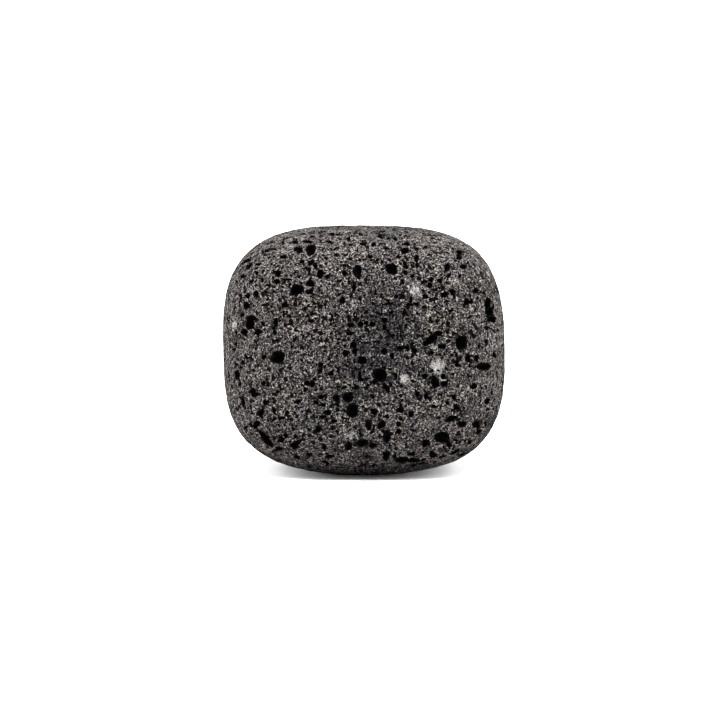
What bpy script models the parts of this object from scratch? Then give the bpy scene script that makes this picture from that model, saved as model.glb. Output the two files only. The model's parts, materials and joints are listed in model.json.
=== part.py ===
"""A tumbled piece of vesicular basalt: a rounded block pitted by burst gas bubbles, with a small worn foot."""

import math
import random

import bmesh
import bpy
from mathutils import Matrix, Vector
from mathutils.bvhtree import BVHTree

# Driving dimensions, in metres.
WIDTH = 0.0500
DEPTH = 0.0460
TOP_RISE = 0.0218
BOTTOM_DROP = 0.0219
FOOT_CUT = 0.00045

# How square the rounded form is: 2 is an ellipsoid, larger is boxier.
TOP_POWER = 3.2
BOTTOM_POWER = 2.95
BLEND_HALF_HEIGHT = 0.35

# The body's facets along one edge of the cube that it is rounded from.
BODY_STEPS = 11

# Low swellings and hollows of the worn surface: direction x, y, z, then spread, then height in millimetres.
SWELLINGS = (
    (0.85, -0.10, 0.50, 0.40, -0.35),
    (-0.85, -0.20, 0.50, 0.40, 0.25),
    (-0.50, -0.65, 0.45, 0.45, 0.40),
    (0.20, 0.95, 0.20, 0.60, 0.35),
    (-0.75, 0.65, -0.20, 0.55, -0.45),
    (0.65, 0.70, -0.40, 0.50, 0.35),
    (0.30, 0.50, 0.80, 0.55, -0.35),
    (0.00, -1.00, -0.20, 0.60, 0.25),
    (0.15, -0.10, 1.00, 0.43, 0.38),
    (-0.52, -0.10, -0.86, 0.30, -1.00),
    (0.45, -0.10, -0.89, 0.30, -0.85),
)

# The front's vesicles are placed as seen from a little above the front, some way off.
VIEW_TILT = 6.0
VIEW_DISTANCE = 0.75

# Front vesicles in millimetres: across from the middle, up from the lowest visible row,
# opening width, opening height, and lean in degrees.
FRONT_VESICLES = (
    (-12.0, 32.7, 2.1, 1.8, 0),
    (4.8, 36.5, 2.0, 2.2, 0),
    (-15.4, 20.6, 2.3, 2.1, 0),
    (17.3, 23.3, 1.8, 2.1, 0),
    (-2.8, 13.8, 2.3, 1.8, 40),
    (-2.1, 11.3, 1.8, 2.0, 0),
    (2.6, 17.5, 2.1, 2.0, 0),
    (1.9, 16.3, 0.9, 0.9, 0),
    (-0.5, 20.2, 1.4, 1.5, 0),
    (-20.4, 26.6, 1.6, 2.5, 0),
    (-20.3, 27.3, 1.1, 1.8, 0),
    (-21.4, 25.2, 1.1, 1.1, 0),
    (-19.0, 25.2, 1.2, 1.1, 0),
    (22.0, 30.0, 1.2, 2.7, 0),
    (22.4, 28.5, 1.2, 1.8, 0),
    (22.9, 27.6, 1.1, 1.1, 0),
    (11.9, 23.9, 3.0, 1.1, 40),
    (13.1, 25.0, 1.4, 0.9, 0),
    (21.3, 19.1, 2.1, 1.2, 0),
    (12.7, 16.1, 1.4, 1.8, 0),
    (13.8, 6.5, 2.5, 1.6, 0),
    (14.5, 5.9, 1.4, 1.1, 0),
    (15.2, 5.1, 0.9, 0.9, 0),
    (10.9, 5.5, 1.4, 1.2, 0),
    (3.9, 3.3, 1.3, 1.6, 0),
    (-17.6, 6.1, 3.6, 1.1, -50),
    (3.1, 8.8, 1.2, 1.6, -45),
    (4.0, 6.8, 1.2, 2.3, 0),
    (4.0, 15.2, 2.1, 0.8, -60),
    (6.5, 2.4, 2.1, 1.1, 0),
    (8.5, 2.2, 2.5, 0.7, 0),
    (-1.3, 36.1, 1.4, 2.1, 0),
    (-9.5, 40.0, 1.6, 1.6, 0),
    (-11.6, 39.8, 1.2, 1.2, 0),
    (-5.0, 13.4, 1.2, 1.2, 0),
    (-0.3, 5.4, 1.8, 1.2, 0),
    (1.5, 5.0, 1.2, 1.0, 0),
    (0.7, 8.6, 0.8, 1.7, 0),
    (-2.8, 4.9, 1.2, 1.2, 0),
    (-15.4, 35.7, 1.1, 1.1, 0),
    (-15.5, 34.2, 1.2, 1.2, 0),
    (-19.3, 32.0, 1.1, 1.3, 0),
    (-9.7, 33.9, 1.4, 1.2, 0),
    (-9.8, 32.4, 1.4, 0.9, 20),
    (-7.8, 35.5, 1.1, 1.6, 0),
    (-16.6, 41.3, 2.0, 0.4, 25),
    (-20.9, 31.6, 0.9, 0.9, 0),
    (-21.1, 30.0, 1.0, 1.2, 0),
    (-14.2, 30.0, 1.1, 0.9, 0),
    (7.2, 39.7, 1.4, 1.1, 0),
    (-3.9, 30.9, 0.8, 1.1, 0),
    (4.2, 30.3, 1.8, 0.4, 10),
    (16.9, 38.7, 1.1, 1.4, 0),
    (17.7, 36.9, 1.2, 0.9, 0),
    (14.8, 36.8, 1.2, 1.2, 0),
    (13.4, 34.4, 0.9, 0.9, 0),
    (11.6, 33.5, 0.8, 1.1, 0),
    (15.8, 32.4, 1.1, 1.2, 0),
    (14.4, 32.0, 1.1, 0.9, 40),
    (19.9, 32.6, 1.1, 0.9, 0),
    (18.2, 30.7, 0.8, 1.2, 0),
    (-15.8, 26.9, 0.9, 1.5, 0),
    (-22.7, 17.5, 0.9, 1.8, 0),
    (-10.3, 16.1, 0.9, 0.9, 0),
    (-9.3, 16.0, 1.0, 1.1, 0),
    (-19.5, 14.0, 1.4, 0.7, 0),
    (-2.5, 26.5, 1.0, 0.9, 0),
    (3.5, 21.8, 1.0, 1.2, 0),
    (-6.0, 17.8, 0.9, 0.9, 0),
    (13.9, 22.6, 1.4, 0.8, 0),
    (18.4, 20.5, 0.8, 1.3, 0),
    (20.0, 20.6, 0.9, 1.1, -35),
    (16.5, 19.6, 0.8, 1.1, 0),
    (10.7, 17.3, 1.1, 0.9, 0),
    (19.5, 15.5, 1.2, 1.3, 0),
    (9.4, 14.2, 0.8, 1.1, 0),
    (11.0, 13.7, 0.7, 1.2, 0),
    (-21.6, 12.7, 0.7, 1.8, 0),
    (-11.8, 12.9, 1.0, 0.9, 0),
    (-19.1, 9.0, 1.1, 1.1, 0),
    (-12.4, 5.3, 0.8, 2.0, -60),
    (-15.3, 4.4, 1.1, 0.8, 0),
    (-8.2, 7.9, 1.0, 1.1, 0),
    (-7.1, 4.7, 0.9, 1.0, 0),
    (-5.4, 9.3, 1.2, 0.7, 0),
    (1.7, 11.0, 0.9, 1.1, 40),
    (6.4, 11.3, 1.4, 1.1, 0),
    (8.4, 10.6, 1.0, 1.2, 0),
    (0.7, 3.0, 1.6, 0.5, 0),
    (6.1, 7.6, 0.9, 0.9, 0),
    (16.0, 13.6, 0.8, 1.1, 0),
    (15.6, 9.8, 0.9, 2.5, -75),
    (17.5, 8.8, 1.2, 1.2, 0),
    (19.9, 8.9, 1.4, 1.1, 0),
    (12.2, 3.4, 1.2, 1.2, 0),
    (16.1, 3.8, 1.8, 0.7, 25),
    (17.2, 3.3, 1.6, 0.7, 15),
)

# Vesicles elsewhere, in millimetres: count, least and greatest mean radius.
SCATTERED_LARGE = (30, 0.80, 1.20)
SCATTERED_SMALL = (84, 0.50, 0.80)
SCATTER_SEED = 12
FRONT_EDGE = 0.25
CANDIDATES = 4
CLEAR_FOOT_RADIUS = 0.0062
SPACING = 1.12

# A bubble's depth as a share of its mean opening radius, and how far its centre lies outside the surface.
DEPTH_SHARE = 1.10
LIFT_SHARE = 0.12
WOBBLE = 0.10
WIDEST_STRETCH = 3.0

# A bubble's corners around and the latitudes of its rings, by the mean radius that each is used from.
BUBBLE_FACETS = (
    (0.00078, 8, (-58, -22, 40)),
    (0.00055, 7, (-45, 40)),
    (0.0, 6, (-42, 40)),
)

# How finely the front view's rays and lowest row are searched.
RAY_STEPS = 300
HALVINGS = 20
ROW_STEPS = 200

MILLIMETRE = 0.001
FLAT_WITHIN = 1e-6


def clear_scene():
    for old in list(bpy.data.objects):
        bpy.data.objects.remove(old, do_unlink=True)


def stone_material(name, colour, roughness):
    material = bpy.data.materials.new(name)
    material.use_nodes = True
    shader = material.node_tree.nodes["Principled BSDF"]
    shader.inputs["Base Color"].default_value = (*colour, 1.0)
    shader.inputs["Roughness"].default_value = roughness
    return material


def smooth_step(low, high, value):
    share = min(max((value - low) / (high - low), 0.0), 1.0)
    return share * share * (3.0 - 2.0 * share)


def worn_radius(direction):
    """Distance from the stone's middle to its worn surface along a unit direction."""
    blend = smooth_step(-BLEND_HALF_HEIGHT, BLEND_HALF_HEIGHT, direction.z)
    power = BOTTOM_POWER + (TOP_POWER - BOTTOM_POWER) * blend
    rise = TOP_RISE if direction.z > 0.0 else BOTTOM_DROP
    total = abs(direction.x / (WIDTH / 2)) ** power
    total += abs(direction.y / (DEPTH / 2)) ** power
    total += abs(direction.z / rise) ** power
    radius = total ** (-1.0 / power)
    for x, y, z, spread, height in SWELLINGS:
        away = (direction - Vector((x, y, z)).normalized()).length
        radius += height * MILLIMETRE * math.exp(-((away / spread) ** 2))
    return radius


def worn_point(direction):
    return direction * worn_radius(direction)


def worn_normal(direction):
    """Outward normal of the worn surface, from two short steps along it."""
    side = direction.orthogonal().normalized() * 0.01
    other = direction.cross(side)
    across = worn_point((direction + side).normalized()) - worn_point((direction - side).normalized())
    along = worn_point((direction + other).normalized()) - worn_point((direction - other).normalized())
    normal = across.cross(along).normalized()
    return normal if normal.dot(direction) > 0.0 else -normal


def middle_height():
    """The middle's height above the foot, which is worn flat a little above the form's lowest point."""
    return -worn_point(Vector((0.0, 0.0, -1.0))).z - FOOT_CUT


def add_body():
    """A cube's grid pushed out to the worn form, with its underside worn flat at height zero."""
    mesh = bmesh.new()
    bmesh.ops.create_cube(mesh, size=2.0)
    bmesh.ops.subdivide_edges(mesh, edges=mesh.edges[:], cuts=BODY_STEPS - 1, use_grid_fill=True)
    middle = Vector((0.0, 0.0, middle_height()))
    for vertex in mesh.verts:
        # Equal angles instead of equal steps keep the facets even in size.
        bent = Vector([math.tan(part * math.pi / 4) for part in vertex.co])
        vertex.co = middle + worn_point(bent.normalized())
    everything = mesh.verts[:] + mesh.edges[:] + mesh.faces[:]
    bmesh.ops.bisect_plane(
        mesh, geom=everything, plane_co=(0, 0, 0), plane_no=(0, 0, -1), clear_outer=True
    )
    rim = [edge for edge in mesh.edges if edge.is_boundary]
    bmesh.ops.contextual_create(mesh, geom=rim)
    bmesh.ops.recalc_face_normals(mesh, faces=mesh.faces[:])
    bmesh.ops.triangulate(mesh, faces=mesh.faces[:])
    body = add_object("lava_rock", mesh)
    body.data.materials.append(stone_material("basalt", (0.075, 0.068, 0.065), 0.88))
    return body


def add_object(name, mesh):
    for face in mesh.faces:
        face.smooth = True
    data = bpy.data.meshes.new(name)
    mesh.to_mesh(data)
    mesh.free()
    made = bpy.data.objects.new(name, data)
    bpy.context.scene.collection.objects.link(made)
    return made


def surface_normal(spot):
    """Outward normal at a spot: straight down on the foot, else that of the worn form."""
    if spot.z < FLAT_WITHIN:
        return Vector((0.0, 0.0, -1.0))
    return worn_normal((spot - Vector((0.0, 0.0, middle_height()))).normalized())


def view_axes():
    tilt = math.radians(VIEW_TILT)
    toward = Vector((0.0, -math.cos(tilt), math.sin(tilt)))
    up = Vector((0.0, math.sin(tilt), math.cos(tilt)))
    return toward, up


def lowest_row(up):
    """The lowest visible row of the front view, measured from the stone's middle."""
    rows = []
    for step in range(ROW_STEPS + 1):
        turn = math.pi / 2 * step / ROW_STEPS
        spot = worn_point(Vector((0.0, -math.cos(turn), -math.sin(turn))))
        spot.z = max(spot.z, -middle_height())
        rows.append(spot.dot(up))
    return min(rows)


def worn_spot_on_ray(eye, ray, middle):
    """Where a ray from outside first meets the worn form, found by stepping and then halving, or None."""
    outside = (middle - eye).length - WIDTH
    step = 2 * WIDTH / RAY_STEPS
    for _ in range(RAY_STEPS):
        inside = outside + step
        if is_inside(eye + ray * inside - middle):
            break
        outside = inside
    else:
        return None
    for _ in range(HALVINGS):
        halfway = (outside + inside) / 2
        if is_inside(eye + ray * halfway - middle):
            inside = halfway
        else:
            outside = halfway
    return eye + ray * inside


def is_inside(offset):
    return offset.length < worn_radius(offset.normalized())


def front_bubbles():
    """Bubbles whose openings, seen from the front, are the listed ellipses."""
    toward, up = view_axes()
    across = Vector((1.0, 0.0, 0.0))
    middle = Vector((0.0, 0.0, middle_height()))
    lowest = lowest_row(up)
    eye = middle + toward * VIEW_DISTANCE
    bubbles = []
    for x, height, wide, tall, lean in FRONT_VESICLES:
        target = middle + across * (x * MILLIMETRE) + up * (lowest + height * MILLIMETRE)
        ray = (target - eye).normalized()
        spot = worn_spot_on_ray(eye, ray, middle)
        if spot is None:
            continue
        normal = surface_normal(spot)
        turn = math.radians(lean)
        wide_axis = across * math.cos(turn) + up * math.sin(turn)
        tall_axis = up * math.cos(turn) - across * math.sin(turn)
        facing = max(-normal.dot(ray), 1.0 / WIDEST_STRETCH)
        wide_side = on_surface(wide_axis, ray, normal, facing) * (wide * MILLIMETRE / 2)
        tall_side = on_surface(tall_axis, ray, normal, facing) * (tall * MILLIMETRE / 2)
        bubbles.append((spot, normal, wide_side, tall_side))
    return bubbles


def on_surface(axis, ray, normal, facing):
    """The step along the surface that is seen as the given step across the view."""
    return axis + ray * (axis.dot(normal) / facing)


def mean_radius(bubble):
    _, _, wide_side, tall_side = bubble
    return math.sqrt(wide_side.cross(tall_side).length)


def reach(bubble):
    _, _, wide_side, tall_side = bubble
    return max(wide_side.length, tall_side.length)


def far_enough(bubble, others):
    return all((bubble[0] - other[0]).length > SPACING * (reach(bubble) + reach(other)) for other in others)


def random_direction(chance):
    z = chance.uniform(-1.0, 1.0)
    turn = chance.uniform(0.0, 2 * math.pi)
    flat = math.sqrt(1.0 - z * z)
    return Vector((flat * math.cos(turn), flat * math.sin(turn), z))


def random_bubble(least, greatest, chance):
    """A bubble of random size, squash and turn under a random spot of the surface."""
    spot = Vector((0.0, 0.0, middle_height())) + worn_point(random_direction(chance))
    spot.z = max(spot.z, 0.0)
    normal = surface_normal(spot)
    radius = chance.uniform(least, greatest) * MILLIMETRE
    turn = chance.uniform(0.0, math.pi)
    squash = chance.uniform(0.65, 1.0)
    side = normal.orthogonal().normalized()
    other = normal.cross(side)
    wide_axis = side * math.cos(turn) + other * math.sin(turn)
    tall_axis = other * math.cos(turn) - side * math.sin(turn)
    return spot, normal, wide_axis * (radius / squash), tall_axis * (radius * squash)


def is_allowed(bubble, others):
    """Whether a scattered bubble is off the front, clear of the foot's middle and apart from the others."""
    spot, normal = bubble[:2]
    toward, _ = view_axes()
    on_front = normal.dot(toward) > FRONT_EDGE
    below = spot.z < middle_height()
    in_foot = below and math.hypot(spot.x, spot.y) < CLEAR_FOOT_RADIUS + reach(bubble)
    return not on_front and not in_foot and far_enough(bubble, others)


def scattered_bubbles(placed):
    """Bubbles over the sides, back, top and underside, each the loneliest of a few random ones."""
    chance = random.Random(SCATTER_SEED)
    everything = list(placed)
    for count, least, greatest in (SCATTERED_LARGE, SCATTERED_SMALL):
        for _ in range(count):
            choices = []
            while len(choices) < CANDIDATES:
                bubble = random_bubble(least, greatest, chance)
                if is_allowed(bubble, everything):
                    choices.append(bubble)
            everything.append(max(choices, key=lambda choice: loneliness(choice, everything)))
    return everything[len(placed):]


def loneliness(bubble, others):
    return min((bubble[0] - other[0]).length for other in others)


def bubble_outline(corners, chance):
    """An uneven ring of corners about the unit circle."""
    outline = []
    for index in range(corners):
        turn = 2 * math.pi * (index + chance.uniform(-WOBBLE, WOBBLE)) / corners
        radius = 1.0 + chance.uniform(-WOBBLE, WOBBLE)
        outline.append((radius * math.cos(turn), radius * math.sin(turn)))
    return outline


def surface_tree(body):
    points = [vertex.co for vertex in body.data.vertices]
    return BVHTree.FromPolygons(points, [face.vertices for face in body.data.polygons])


def settled(bubble, tree):
    """The same bubble moved onto the body's facets, which lie a little inside the worn form."""
    spot, normal, wide_side, tall_side = bubble
    return tree.find_nearest(spot)[0], normal, wide_side, tall_side


def add_bubble(mesh, bubble, chance):
    """One closed, slightly uneven ellipsoid, sunk in the surface with its centre a little outside it.

    Its rings are scaled and shifted copies of one outline, so the facets between them are flat."""
    spot, normal, wide_side, tall_side = bubble
    radius = mean_radius(bubble)
    depth = radius * DEPTH_SHARE
    opened = 1.0 / math.sqrt(1.0 - LIFT_SHARE**2)
    if wide_side.cross(tall_side).dot(normal) < 0.0:
        tall_side = -tall_side
    place = Matrix((wide_side * opened, tall_side * opened, normal * depth)).transposed().to_4x4()
    place.translation = spot + normal * (depth * LIFT_SHARE)
    corners, latitudes = next(facets[1:] for facets in BUBBLE_FACETS if radius >= facets[0])
    outline = bubble_outline(corners, chance)
    rings = []
    for latitude in latitudes:
        level = math.sin(math.radians(latitude))
        size = math.cos(math.radians(latitude))
        shift_x = chance.uniform(-WOBBLE, WOBBLE) * (1.0 - size)
        shift_y = chance.uniform(-WOBBLE, WOBBLE) * (1.0 - size)
        points = [(x * size + shift_x, y * size + shift_y, level) for x, y in outline]
        rings.append([mesh.verts.new(place @ Vector(point)) for point in points])
    lowest = mesh.verts.new(place @ Vector((0.0, 0.0, -1.0)))
    for index in range(corners):
        after = (index + 1) % corners
        mesh.faces.new((lowest, rings[0][after], rings[0][index]))
        for below, above in zip(rings, rings[1:]):
            mesh.faces.new((below[index], below[after], above[after], above[index]))
    mesh.faces.new(rings[-1])


def add_cutter(name, bubbles, chance):
    mesh = bmesh.new()
    for bubble in bubbles:
        add_bubble(mesh, bubble, chance)
    cutter = add_object(name, mesh)
    cutter.display_type = "WIRE"
    cutter.hide_render = True
    return cutter


def separate_groups(bubbles):
    """Groups of bubbles with no two of a group overlapping, the largest bubbles first."""
    groups = []
    for bubble in sorted(bubbles, key=reach, reverse=True):
        for group in groups:
            if far_enough(bubble, group):
                group.append(bubble)
                break
        else:
            groups.append([bubble])
    return groups


def cut(body, cutter):
    modifier = body.modifiers.new("Cut " + cutter.name, "BOOLEAN")
    modifier.operation = "DIFFERENCE"
    modifier.solver = "EXACT"
    modifier.object = cutter


def main():
    clear_scene()
    body = add_body()
    tree = surface_tree(body)
    front = front_bubbles()
    bubbles = [settled(bubble, tree) for bubble in front + scattered_bubbles(front)]
    chance = random.Random(SCATTER_SEED + 1)
    for number, group in enumerate(separate_groups(bubbles), start=1):
        cut(body, add_cutter(f"vesicles_{number}", group, chance))


main()
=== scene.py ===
"""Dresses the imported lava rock: one tumbled piece of vesicular basalt on a plain studio stage."""

import json
import math
import random

import bmesh
import bpy
import numpy as np
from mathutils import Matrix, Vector

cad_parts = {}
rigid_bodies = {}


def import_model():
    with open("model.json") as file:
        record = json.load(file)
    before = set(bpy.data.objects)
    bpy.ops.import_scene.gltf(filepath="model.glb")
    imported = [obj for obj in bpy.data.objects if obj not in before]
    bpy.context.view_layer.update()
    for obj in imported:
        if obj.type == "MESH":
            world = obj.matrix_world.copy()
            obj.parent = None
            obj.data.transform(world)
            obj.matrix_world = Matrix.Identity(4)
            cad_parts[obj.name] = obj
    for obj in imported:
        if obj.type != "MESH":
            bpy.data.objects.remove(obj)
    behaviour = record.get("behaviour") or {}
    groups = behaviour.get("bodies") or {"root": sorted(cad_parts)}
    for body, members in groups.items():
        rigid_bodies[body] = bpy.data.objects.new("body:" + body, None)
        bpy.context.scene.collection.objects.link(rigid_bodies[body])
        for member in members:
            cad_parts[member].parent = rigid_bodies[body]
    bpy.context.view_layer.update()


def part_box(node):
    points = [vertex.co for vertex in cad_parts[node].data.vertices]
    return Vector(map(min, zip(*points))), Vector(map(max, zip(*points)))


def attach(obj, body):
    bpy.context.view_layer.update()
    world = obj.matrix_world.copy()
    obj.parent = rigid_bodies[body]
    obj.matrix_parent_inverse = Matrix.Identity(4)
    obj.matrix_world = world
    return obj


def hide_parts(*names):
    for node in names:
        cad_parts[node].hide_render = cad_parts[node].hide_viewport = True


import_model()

bl_info = {
    "name": "Lava Rock",
    "version": (1, 0, 0),
    "blender": (4, 5, 0),
    "location": "3D Viewport > Sidebar > Lava Rock",
    "description": "Adds a tumbled, pitted lava rock and a small studio stage for it",
    "category": "Add Mesh",
}

NODE = "lava_rock"
STONE_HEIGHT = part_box(NODE)[1].z
MILLIMETRE = 0.001
FLAT_WITHIN = 1e-6

# The worn form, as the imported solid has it, in metres.
WIDTH = 0.0500
DEPTH = 0.0460
TOP_RISE = 0.0218
BOTTOM_DROP = 0.0219
FOOT_CUT = 0.00045
TOP_POWER = 3.2
BOTTOM_POWER = 2.95
BLEND_HALF_HEIGHT = 0.35

# Low swellings and hollows of the worn surface: direction x, y, z, then spread, then height in millimetres.
SWELLINGS = (
    (0.85, -0.10, 0.50, 0.40, -0.35),
    (-0.85, -0.20, 0.50, 0.40, 0.25),
    (-0.50, -0.65, 0.45, 0.45, 0.40),
    (0.20, 0.95, 0.20, 0.60, 0.35),
    (-0.75, 0.65, -0.20, 0.55, -0.45),
    (0.65, 0.70, -0.40, 0.50, 0.35),
    (0.30, 0.50, 0.80, 0.55, -0.35),
    (0.00, -1.00, -0.20, 0.60, 0.25),
    (0.15, -0.10, 1.00, 0.43, 0.38),
    (-0.52, -0.10, -0.86, 0.30, -1.00),
    (0.45, -0.10, -0.89, 0.30, -0.85),
)

# The front's vesicles, crystals and dense patches are placed as seen from a little above the front.
VIEW_TILT = 6.0
VIEW_DISTANCE = 0.75
RAY_STEPS = 300
HALVINGS = 20
ROW_STEPS = 200
WIDEST_STRETCH = 3.0
NORMAL_STEP = 0.01

# Front vesicles in millimetres: across from the middle, up from the lowest visible row,
# opening width, opening height, and lean in degrees.
FRONT_VESICLES = (
    (-12.0, 32.7, 2.1, 1.8, 0), (4.8, 36.5, 2.0, 2.2, 0), (-15.4, 20.6, 2.3, 2.1, 0),
    (17.3, 23.3, 1.8, 2.1, 0), (-2.8, 13.8, 2.3, 1.8, 40), (-2.1, 11.3, 1.8, 2.0, 0),
    (2.6, 17.5, 2.1, 2.0, 0), (1.9, 16.3, 0.9, 0.9, 0), (-0.5, 20.2, 1.4, 1.5, 0),
    (-20.4, 26.6, 1.6, 2.5, 0), (-20.3, 27.3, 1.1, 1.8, 0), (-21.4, 25.2, 1.1, 1.1, 0),
    (-19.0, 25.2, 1.2, 1.1, 0), (22.0, 30.0, 1.2, 2.7, 0), (22.4, 28.5, 1.2, 1.8, 0),
    (22.9, 27.6, 1.1, 1.1, 0), (11.9, 23.9, 3.0, 1.1, 40), (13.1, 25.0, 1.4, 0.9, 0),
    (21.3, 19.1, 2.1, 1.2, 0), (12.7, 16.1, 1.4, 1.8, 0), (13.8, 6.5, 2.5, 1.6, 0),
    (14.5, 5.9, 1.4, 1.1, 0), (15.2, 5.1, 0.9, 0.9, 0), (10.9, 5.5, 1.4, 1.2, 0), (3.9, 3.3, 1.3, 1.6, 0),
    (-17.6, 6.1, 3.6, 1.1, -50), (3.1, 8.8, 1.2, 1.6, -45), (4.0, 6.8, 1.2, 2.3, 0),
    (4.0, 15.2, 2.1, 0.8, -60), (6.5, 2.4, 2.1, 1.1, 0), (8.5, 2.2, 2.5, 0.7, 0), (-1.3, 36.1, 1.4, 2.1, 0),
    (-9.5, 40.0, 1.6, 1.6, 0), (-11.6, 39.8, 1.2, 1.2, 0), (-5.0, 13.4, 1.2, 1.2, 0),
    (-0.3, 5.4, 1.8, 1.2, 0), (1.5, 5.0, 1.2, 1.0, 0), (0.7, 8.6, 0.8, 1.7, 0), (-2.8, 4.9, 1.2, 1.2, 0),
    (-15.4, 35.7, 1.1, 1.1, 0), (-15.5, 34.2, 1.2, 1.2, 0), (-19.3, 32.0, 1.1, 1.3, 0),
    (-9.7, 33.9, 1.4, 1.2, 0), (-9.8, 32.4, 1.4, 0.9, 20), (-7.8, 35.5, 1.1, 1.6, 0),
    (-16.6, 41.3, 2.0, 0.4, 25), (-20.9, 31.6, 0.9, 0.9, 0), (-21.1, 30.0, 1.0, 1.2, 0),
    (-14.2, 30.0, 1.1, 0.9, 0), (7.2, 39.7, 1.4, 1.1, 0), (-3.9, 30.9, 0.8, 1.1, 0),
    (4.2, 30.3, 1.8, 0.4, 10), (16.9, 38.7, 1.1, 1.4, 0), (17.7, 36.9, 1.2, 0.9, 0),
    (14.8, 36.8, 1.2, 1.2, 0), (13.4, 34.4, 0.9, 0.9, 0), (11.6, 33.5, 0.8, 1.1, 0),
    (15.8, 32.4, 1.1, 1.2, 0), (14.4, 32.0, 1.1, 0.9, 40), (19.9, 32.6, 1.1, 0.9, 0),
    (18.2, 30.7, 0.8, 1.2, 0), (-15.8, 26.9, 0.9, 1.5, 0), (-22.7, 17.5, 0.9, 1.8, 0),
    (-10.3, 16.1, 0.9, 0.9, 0), (-9.3, 16.0, 1.0, 1.1, 0), (-19.5, 14.0, 1.4, 0.7, 0),
    (-2.5, 26.5, 1.0, 0.9, 0), (3.5, 21.8, 1.0, 1.2, 0), (-6.0, 17.8, 0.9, 0.9, 0),
    (13.9, 22.6, 1.4, 0.8, 0), (18.4, 20.5, 0.8, 1.3, 0), (20.0, 20.6, 0.9, 1.1, -35),
    (16.5, 19.6, 0.8, 1.1, 0), (10.7, 17.3, 1.1, 0.9, 0), (19.5, 15.5, 1.2, 1.3, 0),
    (9.4, 14.2, 0.8, 1.1, 0), (11.0, 13.7, 0.7, 1.2, 0), (-21.6, 12.7, 0.7, 1.8, 0),
    (-11.8, 12.9, 1.0, 0.9, 0), (-19.1, 9.0, 1.1, 1.1, 0), (-12.4, 5.3, 0.8, 2.0, -60),
    (-15.3, 4.4, 1.1, 0.8, 0), (-8.2, 7.9, 1.0, 1.1, 0), (-7.1, 4.7, 0.9, 1.0, 0), (-5.4, 9.3, 1.2, 0.7, 0),
    (1.7, 11.0, 0.9, 1.1, 40), (6.4, 11.3, 1.4, 1.1, 0), (8.4, 10.6, 1.0, 1.2, 0), (0.7, 3.0, 1.6, 0.5, 0),
    (6.1, 7.6, 0.9, 0.9, 0), (16.0, 13.6, 0.8, 1.1, 0), (15.6, 9.8, 0.9, 2.5, -75),
    (17.5, 8.8, 1.2, 1.2, 0), (19.9, 8.9, 1.4, 1.1, 0), (12.2, 3.4, 1.2, 1.2, 0), (16.1, 3.8, 1.8, 0.7, 25),
    (17.2, 3.3, 1.6, 0.7, 15),
)

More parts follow.
